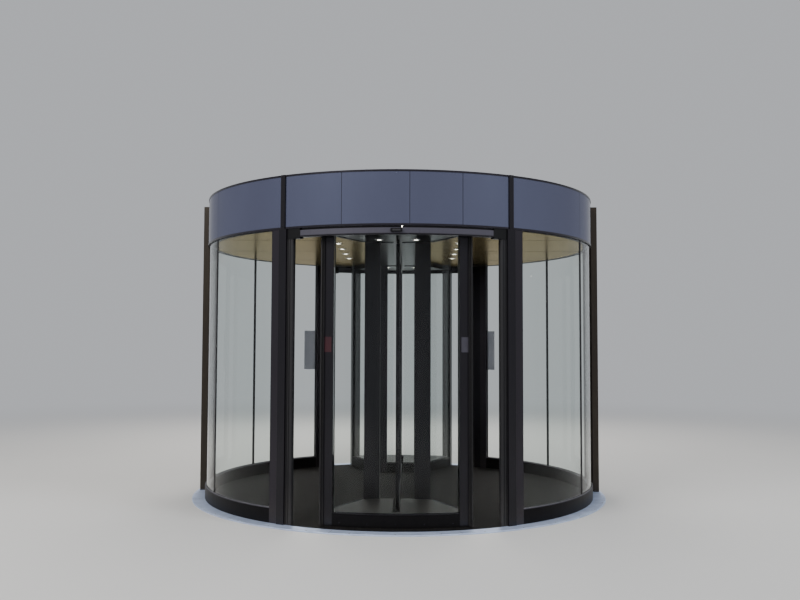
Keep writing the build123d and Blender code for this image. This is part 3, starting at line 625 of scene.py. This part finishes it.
# Mat: pile strips between thin rails, cut to the circle
entranceMat = {
    "pitch": 0.027, "inset": 0.006, "shortest": 0.05, "crownHalf": 0.3, "root": -0.3,
    "pile": {"width": 0.0205, "height": 0.0020, "crown": 0.5, "shift": 0.0},
    "rail": {"width": 0.0035, "height": 0.0012, "crown": 0.2, "shift": 0.0135},
}
matTree, matIn = newTree(
    "GeometryNodeTree", "matStrips",
    [("Strip", "Geometry"), ("Radius", "Float"), ("Pitch", "Float"), ("Width", "Float"), ("Height", "Float"),
     ("Level", "Float"), ("Shift", "Float"), ("Shortest", "Float"), ("Finish", "Material")],
    [("Strips", "Geometry")],
)
matTree.is_modifier = True
matCount = maths(matTree, "FLOOR", maths(matTree, "DIVIDE", matIn["Radius"], matIn["Pitch"]))
matFirst = maths(matTree, "MULTIPLY_ADD", matCount, maths(matTree, "MULTIPLY", matIn["Pitch"], -1.0), matIn["Shift"])
matLine = addNode(matTree, "GeometryNodeMeshLine", {
    "Count": maths(matTree, "MULTIPLY_ADD", matCount, 2.0, 1.0),
    "Start Location": addNode(matTree, "ShaderNodeCombineXYZ", {"Y": matFirst, "Z": matIn["Level"]})[0],
    "Offset": addNode(matTree, "ShaderNodeCombineXYZ", {"Y": matIn["Pitch"]})[0],
}, mode="OFFSET")[0]
matPlace = addNode(matTree, "GeometryNodeInputPosition")[0]
matAcross = maths(matTree, "ABSOLUTE", addNode(matTree, "ShaderNodeSeparateXYZ", {0: matPlace})["Y"])
matReach = maths(matTree, "ADD", matAcross, maths(matTree, "MULTIPLY", matIn["Width"], 0.5))
matSquare = maths(matTree, "SUBTRACT", maths(matTree, "MULTIPLY", matIn["Radius"], matIn["Radius"]),
                  maths(matTree, "MULTIPLY", matReach, matReach))
matChord = maths(matTree, "MULTIPLY", maths(matTree, "SQRT", maths(matTree, "MAXIMUM", matSquare, 0.0)), 2.0)
matLong = addNode(matTree, "GeometryNodeDeleteGeometry", {
    "Geometry": matLine, "Selection": maths(matTree, "LESS_THAN", matChord, matIn["Shortest"])})[0]
endTree(matTree, addNode(matTree, "GeometryNodeInstanceOnPoints", {
    "Points": matLong, "Instance": matIn["Strip"], "Scale": addNode(matTree, "ShaderNodeCombineXYZ", {
        "X": matChord, "Y": matIn["Width"], "Z": matIn["Height"]})[0],
})[0], matIn["Finish"])


def matRows(name, row, paint):
    # a unit strip with a crowned or flat top, one metre long and a metre wide until the tree scales it
    bm = bmesh.new()
    root, edge, crown = entranceMat["root"], 1 - row["crown"], entranceMat["crownHalf"]
    section = [(-0.5, root), (0.5, root), (0.5, edge), (crown, 1.0), (-crown, 1.0), (-0.5, edge)]
    loft(bm, [[(x, y, z) for y, z in section] for x in (-0.5, 0.5)])
    bmesh.ops.recalc_face_normals(bm, faces=bm.faces)
    mesh = applyTree(name, meshFrom(name + "_strip", bm), matTree, {
        "Radius": door["matRadius"] - entranceMat["inset"], "Pitch": entranceMat["pitch"], "Width": row["width"],
        "Height": row["height"], "Level": floorLevel, "Shift": row["shift"], "Shortest": entranceMat["shortest"],
        "Finish": paints[paint]})
    placePiece(name, mesh, paint, "drum")


matRows("mat_pile_strips", entranceMat["pile"], "matPile")
matRows("mat_rails", entranceMat["rail"], "matRail")
print("mat")

# Gaskets and beads along the panes of the drum
wallSeal = {"width": 0.003, "height": 0.004, "beadWidth": 0.004, "beadHeight": 0.003}
gaskets, beads = bmesh.new(), bmesh.new()
paneSpans = quarters(door["stileStop"], door["mullionAngle"] - door["mullionHalf"])
paneSpans += quarters(door["mullionAngle"] + door["mullionHalf"], door["wallPostStart"])
low, high = door["railTop"], door["canopyBottom"]
width, height = wallSeal["width"], wallSeal["height"]
beadNear = door["paneOuter"] + width
sideTurn = degrees(width / door["paneOuter"])
for first, last in paneSpans:
    for radii in ((door["paneOuter"], beadNear), (door["paneInner"] - width, door["paneInner"])):
        ringBar(gaskets, radii, (low, low + height), (first, last))
        ringBar(gaskets, radii, (high - height, high), (first, last))
        for angles in ((first, first + sideTurn), (last - sideTurn, last)):
            ringBar(gaskets, radii, (low + height, high - height), angles)
    ringBead(beads, (beadNear, beadNear + wallSeal["beadWidth"]), (low, low + wallSeal["beadHeight"]), (first, last))
finishMesh("pane_gaskets", gaskets, "sealRubber", "drum")
finishMesh("rail_beads", beads, "beadAluminium", "drum")

# Canopy: dark backing behind its open joints, and screws on the upright strips
canopy = {
    "joints": (-13.5, 3.2, 16.3), "sidePanels": 4, "trim": 0.015, "backing": (1.7948, 1.7962), "backingHalf": 0.0635,
    "stripFace": 1.8119, "screwFoot": 0.02, "screwSpacing": 0.193,
}
mouth = door["mouthAngle"]
sideStep = (180 - 2 * mouth) / canopy["sidePanels"]
sideJoints = [mouth + sideStep * index for index in range(canopy["sidePanels"] + 1)]
bm = bmesh.new()
for base in (0, 180):
    for joint in (*canopy["joints"], *sideJoints):
        ringBar(bm, canopy["backing"], (door["canopyBottom"] + canopy["trim"], door["canopyTop"] - canopy["trim"]),
                about(base + joint, canopy["backingHalf"]))
finishMesh("joint_backing", bm, "sealRubber", "drum")
stripEnds = (door["canopyBottom"] + canopy["screwFoot"], door["canopyTop"] - canopy["screwFoot"])
stripRows = [[onCircle(canopy["stripFace"], angle, level) for level in stripEnds]
             for angle in (mouth, 180 - mouth, 180 + mouth, 360 - mouth)]
rowOf("strip_screws", smallScrew, stripRows, canopy["screwSpacing"], "trimAluminium", "drum")

# Roof: standing seams that run out from a middle plate, bolts round the rim and a sealed hatch over the drive
roof = {
    "seams": 12, "seamWidth": 0.014, "seamHeight": 0.005, "seamReach": (0.30, 1.735),
    "plateInner": 0.18, "plateHeight": 0.003, "plateStep": 5, "rim": (1.742, 1.792), "rimHeight": 0.002, "rimStep": 3,
    "rimBolts": 1.768, "plateBolts": 0.24, "boltSpacing": 0.231,
}
hatch = {
    "plan": (-0.36, 0.78, 0.36, 1.32), "height": 0.005, "lid": 0.002, "overhang": 0.012, "seamGap": 0.03,
    "sealWidth": 0.012, "sealHeight": 0.002, "boltInset": 0.02, "boltSpacing": 0.19,
}
top = door["canopyTop"]
near, far = roof["seamReach"]
bm = bmesh.new()
for index in range(roof["seams"]):
    angle = 360 / roof["seams"] * index
    stop = hatch["plan"][1] - hatch["seamGap"] if angle == 180 else far
    ends = [onCircle(radius, angle)[:2] for radius in (near, stop)]
    bar(bm, *ends, roof["seamWidth"], (top - sunk, top + roof["seamHeight"]))
ringBar(bm, (roof["plateInner"], near), (top - sunk, top + roof["plateHeight"]), (0, 360), roof["plateStep"])
ringBar(bm, roof["rim"], (top - sunk, top + roof["rimHeight"]), (0, 360), roof["rimStep"])
lidLevels = (top + hatch["height"] - hatch["lid"], top + hatch["height"])
lidPlan = grown(hatch["plan"], hatch["overhang"])
prism(bm, corners(hatch["plan"]), (top - sunk, lidLevels[0]))
prism(bm, corners(lidPlan), lidLevels)
finishMesh("roof_seams", bm, "zincSheet", "drum")
bm = bmesh.new()
left, near, right, far = lidPlan
outerLeft, outerNear, outerRight, outerFar = grown(lidPlan, hatch["sealWidth"])
for plan in ((outerLeft, outerNear, outerRight, near), (outerLeft, far, outerRight, outerFar),
             (outerLeft, near, left, far), (right, near, outerRight, far)):
    prism(bm, corners(plan), (top - sunk, top + hatch["sealHeight"]))
finishMesh("hatch_seal", bm, "sealRubber", "drum")
boltCircles = [circlePath(roof["rimBolts"], top + roof["rimHeight"]),
               circlePath(roof["plateBolts"], top + roof["plateHeight"])]
rowOf("roof_bolts", roofBolt, boltCircles, roof["boltSpacing"], "turnedSteel", "drum", up)
boltPlan = corners(grown(hatch["plan"], -hatch["boltInset"]))
hatchPath = [(x, y, lidLevels[1]) for x, y in boltPlan + boltPlan[:1]]
rowOf("hatch_bolts", smallScrew, [hatchPath], hatch["boltSpacing"], "turnedSteel", "drum", up)
print("canopy")

# Sensors: a dark window in the face of each, and above the front one a small housing whose glowing lens is a painted
# highlight, standing in for a glint at the canopy's lower edge
sensor = {
    "face": 1.8193, "middle": 2.2535, "width": 0.062, "height": 0.013, "corner": 0.004, "cornerSides": 3,
    "depth": 0.0012,
}
glintLamp = {
    "x": 0.042, "level": 2.2825, "housing": (-1.7795, 0.0065, 0.012), "lens": (-1.7913, 0.0045, 0.006),
    "profile": ((1.0, 0.0), (1.0, 0.6), (0.9, 0.9), (0.75, 1.0)), "sides": 24,
}
radius = sensor["corner"]
outline = []
for inX, inZ, firstAngle in ((1, 1, 0), (-1, 1, 90), (-1, -1, 180), (1, -1, 270)):
    for index in range(sensor["cornerSides"] + 1):
        angle = radians(firstAngle + 90 * index / sensor["cornerSides"])
        outline.append((inX * (sensor["width"] / 2 - radius) + radius * cos(angle),
                        sensor["middle"] + inZ * (sensor["height"] / 2 - radius) + radius * sin(angle)))
bm = bmesh.new()
for side in (-1, 1):
    faces = (sensor["face"] - sunk, sensor["face"] + sensor["depth"])
    loft(bm, [[(x, side * y, z) for x, z in outline] for y in faces])
finishMesh("sensor_windows", bm, "sensorWindow", "drum")
# the lens glows with lampGlow: a painted glint, not a working lamp
for part, paint, slotName in (("housing", "sensorPlastic", "sensor"), ("lens", "lampGlow", "light")):
    y, radius, height = glintLamp[part]
    bm = bmesh.new()
    turned(bm, [(radius * share, height * rise) for share, rise in glintLamp["profile"]], glintLamp["sides"],
           (glintLamp["x"], y, glintLamp["level"]), (0, -1, 0))
    finishMesh("indicator_" + part, bm, paint, "drum", smooth=40)

# Bare plates on the inner faces of the curved panes beside the rear mouth
glassPlate = {"spans": ((-146.7, -142.1), (143.7, 146.7)), "levels": (1.11, 1.545), "thickness": 0.0012}
bm = bmesh.new()
for span in glassPlate["spans"]:
    ringBar(bm, (door["paneInner"] - glassPlate["thickness"], door["paneInner"]), glassPlate["levels"], span)
finishMesh("glass_plates", bm, "plateFilm", "drum")

# Lugs that pin the wall posts to the floor ring
lug = {
    "near": 1.840, "far": 1.888, "start": 0.030, "stop": 0.052, "height": 0.006,
    "screws": (1.852, 1.876), "screwLine": 0.041, "screwSpacing": 0.024,
}
lugTop = floorLevel + lug["height"]
lugSides = [(side, end) for side in (-1, 1) for end in (-1, 1)]
bm = bmesh.new()
for side, end in lugSides:
    left, right = sorted((side * lug["near"], side * lug["far"]))
    near, far = sorted((end * lug["start"], end * lug["stop"]))
    prism(bm, corners((left, near, right, far)), (floorLevel, lugTop))
finishMesh("post_lugs", bm, "blackAluminium", "drum")
lugRows = [[(side * x, end * lug["screwLine"], lugTop) for x in lug["screws"]] for side, end in lugSides]
rowOf("lug_screws", plateScrew, lugRows, lug["screwSpacing"], "turnedSteel", "drum", up)

# Screws along the lips of the headers
header = {"lipFace": 1.7983, "lipMiddle": 0.006, "reach": 23.5, "step": 0.5, "screwSpacing": 0.21}
lipLevel = door["headerBottom"] + header["lipMiddle"]
headerRows = [circlePath(header["lipFace"], lipLevel, *about(base, header["reach"]), header["step"])
              for base in (0, 180)]
rowOf("header_screws", smallScrew, headerRows, header["screwSpacing"], "trimAluminium", "drum")
print("drum fittings")

# Brushes: tufts under the cases and leaves, and along the carriers that sweep the drum
brush = {
    "floorSpacing": 0.0055, "floorChange": 0.06, "wallSpacing": 0.007, "wallChange": 0.05, "lean": 0.18,
    "inset": 0.006, "curveGap": 0.3, "cornerGap": 0.02,
    "slotHalf": 0.04, "leafRows": (-0.006, 0.006), "leafReach": (0.012, 0.998),
    "carrierFace": 1.7345, "carrierInset": 0.5, "carrierRowGap": 0.25, "carrierLevels": (0.024, 2.282),
}
leafSides = (("front_leaf", -1), ("rear_leaf", 1))
footX, footY = door["caseFoot"]
cornerX, cornerY = onCircle(door["rotorRadius"], door["caseAngle"])[:2]
inset, level = brush["inset"], door["rotorBottom"]
casePaths = [circlePath(door["rotorRadius"] - inset, level, *about(0, door["caseAngle"] - brush["curveGap"]))]
for flip in (1, -1):
    casePaths.append([(flip * (footX - inset), -footY, level),
                      (flip * (cornerX - inset), cornerY + brush["cornerGap"], level)])
for flip in (1, -1):
    casePaths.append([(flip * x, -(footY + inset), level) for x in (brush["slotHalf"], footX - inset)])
for name, side in (("front_case_bristles", 1), ("rear_case_bristles", -1)):
    rowOf(name, floorTuft, [[(x, y * side, z) for x, y, z in path] for path in casePaths], brush["floorSpacing"],
          "bristleNylon", "rotor", down, brush["floorChange"], brush["lean"], seed=3, smooth=0)
for body, side in leafSides:
    leafPaths = [[(x, side * y, level) for y in brush["leafReach"]] for x in brush["leafRows"]]
    rowOf(body + "_bristles", floorTuft, leafPaths, brush["floorSpacing"], "bristleNylon", body,
          down, brush["floorChange"], brush["lean"], seed=5, smooth=0)
carrierMiddle = door["caseAngle"] - brush["carrierInset"]
carrierAngles = [base + side * (carrierMiddle - gap) for base in (0, 180) for gap in (0, brush["carrierRowGap"])
                 for side in (1, -1)]
carrierPaths = [[onCircle(brush["carrierFace"], angle, z) for z in brush["carrierLevels"]] for angle in carrierAngles]
rowOf("drum_bristles", wallTuft, carrierPaths, brush["wallSpacing"], "bristleNylon", "rotor",
      outwards, brush["wallChange"], brush["lean"], seed=7, smooth=0)
print("brushes")

# Display cases: beads at the feet and heads of their panes, and screws in the bases and casings
caseFit = {
    "beadWidth": 0.0065, "beadHeight": 0.006, "pane": (1.696, 1.706), "sideReach": (0.053, 0.604),
    "sideDepths": (0.0045, 0.0215), "endReach": (0.036, 0.1445), "endLines": (1.0525, 1.0695),
    "screwProud": 0.0001, "screwLevel": 0.045, "screwReach": 14.5, "screwSpacing": 0.205,
    "casingLines": (-0.236, -0.054, 0.054, 0.236), "casingReach": 1.0, "casingSpacing": 0.25,
}
along = Vector((cornerX - footX, cornerY + footY)).normalized()
inward = Vector((along.y, -along.x))
width, (near, far) = caseFit["beadWidth"], caseFit["pane"]
bm = bmesh.new()
for side, base in ((1, 0), (-1, 180)):
    for levels in ((door["caseBaseTop"], door["caseBaseTop"] + caseFit["beadHeight"]),
                   (door["headBottom"] - caseFit["beadHeight"], door["headBottom"])):
        for radii in ((far, far + width), (near - width, near)):
            ringBar(bm, radii, levels, about(base, door["casePostAngle"]))
        for flip in (1, -1):
            for depth in caseFit["sideDepths"]:
                ends = [Vector((footX, -footY)) + along * reach + inward * depth for reach in caseFit["sideReach"]]
                bar(bm, *((flip * end.x, side * end.y) for end in ends), width, levels)
            for y in caseFit["endLines"]:
                bar(bm, *((flip * x, -side * y) for x in caseFit["endReach"]), width, levels)
finishMesh("case_beads", bm, "trimAluminium", "rotor")
baseRadius = door["rotorRadius"] + caseFit["screwProud"]
baseRows = [circlePath(baseRadius, caseFit["screwLevel"], *about(base, caseFit["screwReach"])) for base in (0, 180)]
rowOf("base_screws", smallScrew, baseRows, caseFit["screwSpacing"], "trimAluminium", "rotor")
casingRows = [[(x, y, door["headBottom"]) for y in (-caseFit["casingReach"], caseFit["casingReach"])]
              for x in caseFit["casingLines"]]
rowOf("casing_screws", smallScrew, casingRows, caseFit["casingSpacing"], "trimAluminium", "rotor", down)

# Small bare plates on the outer posts of the cases
postPlate = {"middle": 17.85, "half": 1.05, "levels": (1.334, 1.450), "thickness": 0.0012, "step": 0.5}
radii = (door["rotorRadius"], door["rotorRadius"] + postPlate["thickness"])
for name, side, paint in (("left_post_plates", -1, "plateRed"), ("right_post_plates", 1, "plateGrey")):
    bm = bmesh.new()
    for base in (0, 180):
        angles = about(base + side * postPlate["middle"], postPlate["half"])
        ringBar(bm, radii, postPlate["levels"], angles, postPlate["step"])
    finishMesh(name, bm, paint, "rotor")

# Seams between the sheets of the rotor's ceiling
ceiling = {"seams": (-0.86, 0.0, 0.86), "width": 0.004, "drop": 0.0006, "inner": 0.252, "outer": 1.725}
seamLevels = (door["canopyBottom"] - ceiling["drop"], door["canopyBottom"] + sunk)
bm = bmesh.new()
for y in ceiling["seams"]:
    reach = (ceiling["outer"] ** 2 - y ** 2) ** 0.5
    for side in (1, -1):
        bar(bm, (side * ceiling["inner"], y), (side * reach, y), ceiling["width"], seamLevels)
finishMesh("ceiling_seams", bm, "sealRubber", "rotor")

# Leaves: a mitred bead round each pane and a soft seal down each meeting edge
leaf = {
    "across": (0.055, 0.955), "levels": (0.130, 2.162), "glass": 0.005, "beadInset": 0.009, "beadDepth": 0.0125,
    "beadFlat": 0.0036, "beadLip": 0.008, "meeting": 0.0050, "sealDepth": 0.0035, "sealHalf": 0.006,
    "sealTip": 0.0036, "sealLevels": (0.026, 2.236),
}
section = [(0.0, leaf["glass"]), (0.0, leaf["beadDepth"]), (leaf["beadFlat"], leaf["beadDepth"]),
           (leaf["beadInset"], leaf["beadLip"]), (leaf["beadInset"], leaf["glass"])]
for body, side in leafSides:
    opening = tuple(zip(sorted(side * y for y in leaf["across"]), leaf["levels"]))
    bm = bmesh.new()
    for face in (1, -1):
        frameLoop(bm, opening, section, face)
    finishMesh(body + "_beads", bm, "trimAluminium", body)
    bm = bmesh.new()
    root, tip = side * leaf["meeting"], side * (leaf["meeting"] - leaf["sealDepth"])
    prism(bm, [(-leaf["sealHalf"], root), (leaf["sealHalf"], root), (leaf["sealTip"], tip), (-leaf["sealTip"], tip)],
          leaf["sealLevels"])
    finishMesh(body + "_seal", bm, "sealRubber", body)
print("cases and leaves")

# Downlights: a glowing lens in a rolled rim; ceiling and cases hold their places along X and Y, and their level
lamp = {
    "lens": ((0.0195, 0.0), (0.0195, -0.001), (0.0156, -0.001875), (0.008775, -0.002375)),
    "rim": ((0.0200, 0.0), (0.0215, -0.0028), (0.0240, -0.0035), (0.0300, -0.00245), (0.0345, 0.0)),
    "sides": 28,
    "ceiling": ((-0.54, 0.54), (-0.645, -0.215, 0.215, 0.645), 2.287),
    "cases": ((-0.15, 0.15), (-1.25, 1.25), 2.247),
}
lampPlaces = [(x, y, z) for xs, ys, z in (lamp["ceiling"], lamp["cases"]) for x in xs for y in ys]
lenses, rims = bmesh.new(), bmesh.new()
for place in lampPlaces:
    turned(lenses, lamp["lens"], lamp["sides"], place)
    turned(rims, lamp["rim"], lamp["sides"], place, closed=True)
finishMesh("lamp_lenses", lenses, "lampGlow", "rotor", smooth=40)
finishMesh("lamp_rims", rims, "lampTrimWhite", "rotor", smooth=50)
print("lamps")

# Studio: pale floor, soft lights and the photograph's camera
studioFloor = {"half": 90.0, "fade": (3.0, 15.0), "tones": ((206, 205, 203), (202, 201, 199)), "patches": 0.6,
               "sharpness": 1.0}
backdrop = {"color": (0.80, 0.82, 0.86, 1.0), "strength": 0.62}
black = (0.0, 0.0, 0.0, 1.0)
bm = bmesh.new()
bmesh.ops.create_grid(bm, x_segments=1, y_segments=1, size=studioFloor["half"])
floorMesh = meshFrom("studio_floor", bm)
floorPaint, floorTree, floorShader = newMaterial("floorPaint", {
    "Roughness": 0.7, "Specular IOR Level": 0.0, "Emission Strength": backdrop["strength"]})
floorReach = addNode(floorTree, "ShaderNodeVectorMath", {0: onObject(floorTree)}, operation="LENGTH")["Value"]
floorFade = addNode(floorTree, "ShaderNodeMapRange", {
    "Value": floorReach, "From Min": studioFloor["fade"][0], "From Max": studioFloor["fade"][1],
}, interpolation_type="SMOOTHERSTEP")[0]
floorBase = mixTones(floorTree, floorFade, driftingTone(floorTree, studioFloor), black)
floorTree.links.new(floorBase, floorShader["Base Color"])
floorTree.links.new(mixTones(floorTree, floorFade, black, backdrop["color"]), floorShader["Emission Color"])
floorMesh.materials.append(floorPaint)
studio = newObject("studio_floor", floorMesh)

sky = bpy.data.worlds.new("studioSky")
sky.use_nodes = True
sky.node_tree.nodes["Background"].inputs["Color"].default_value = backdrop["color"]
sky.node_tree.nodes["Background"].inputs["Strength"].default_value = backdrop["strength"]
bpy.context.scene.world = sky

outside = {"aim": (0, 0, 1.3)}
inside = {"size": (1.0, 1.6), "power": 34.0, "color": (1.0, 0.96, 0.9)}
lights = {
    "key": {**outside, "place": (-4.5, -6.5, 7.0), "size": (4.0, 3.0), "power": 620.0, "color": (1.0, 0.98, 0.95)},
    "fill": {**outside, "place": (5.5, -5.0, 7.2), "size": (3.0, 3.0), "power": 360.0, "color": (0.93, 0.96, 1.0)},
    "back": {**outside, "place": (0.0, 6.5, 6.0), "size": (6.0, 3.0), "power": 500.0, "color": (1.0, 0.96, 0.9)},
    "insideLeft": {**inside, "place": (-0.95, 0, 2.2), "aim": (-0.95, 0, 0)},
    "insideRight": {**inside, "place": (0.95, 0, 2.2), "aim": (0.95, 0, 0)},
}
for name, setting in lights.items():
    softBox = bpy.data.lights.new(name, "AREA")
    softBox.shape = "RECTANGLE"
    softBox.size, softBox.size_y = setting["size"]
    softBox.energy = setting["power"]
    softBox.color = setting["color"]
    holder = newObject(name, softBox)
    holder.location = setting["place"]
    holder.rotation_euler = (Vector(setting["aim"]) - Vector(setting["place"])).to_track_quat("-Z", "Y").to_euler()
    if name.startswith("inside"):
        holder.visible_camera = holder.visible_glossy = holder.visible_transmission = False

viewpoint = {
    "place": (0.1146, -8.1181, 1.3943), "lens": 37.997, "sensor": 36.0, "lean": 0.0136, "tilt": 0.0524, "roll": 0.0032,
}
lean, tilt, roll = viewpoint["lean"], viewpoint["tilt"], viewpoint["roll"]
aim = Vector((-sin(lean) * cos(tilt), cos(lean) * cos(tilt), sin(tilt)))
sideways = aim.cross(Vector(up)).normalized()
above = sideways.cross(aim)
axes = (sideways * cos(roll) + above * sin(roll), above * cos(roll) - sideways * sin(roll), -aim)
cameraData = bpy.data.cameras.new("photoCamera")
cameraData.sensor_width = viewpoint["sensor"]
cameraData.sensor_fit = "HORIZONTAL"
cameraData.lens = viewpoint["lens"]
camera = newObject("photoCamera", cameraData)
camera.location = viewpoint["place"]
camera.rotation_euler = Matrix(axes).transposed().to_euler()
bpy.context.scene.camera = camera

for shape in shapes:
    bpy.data.objects.remove(shape)
print("studio")
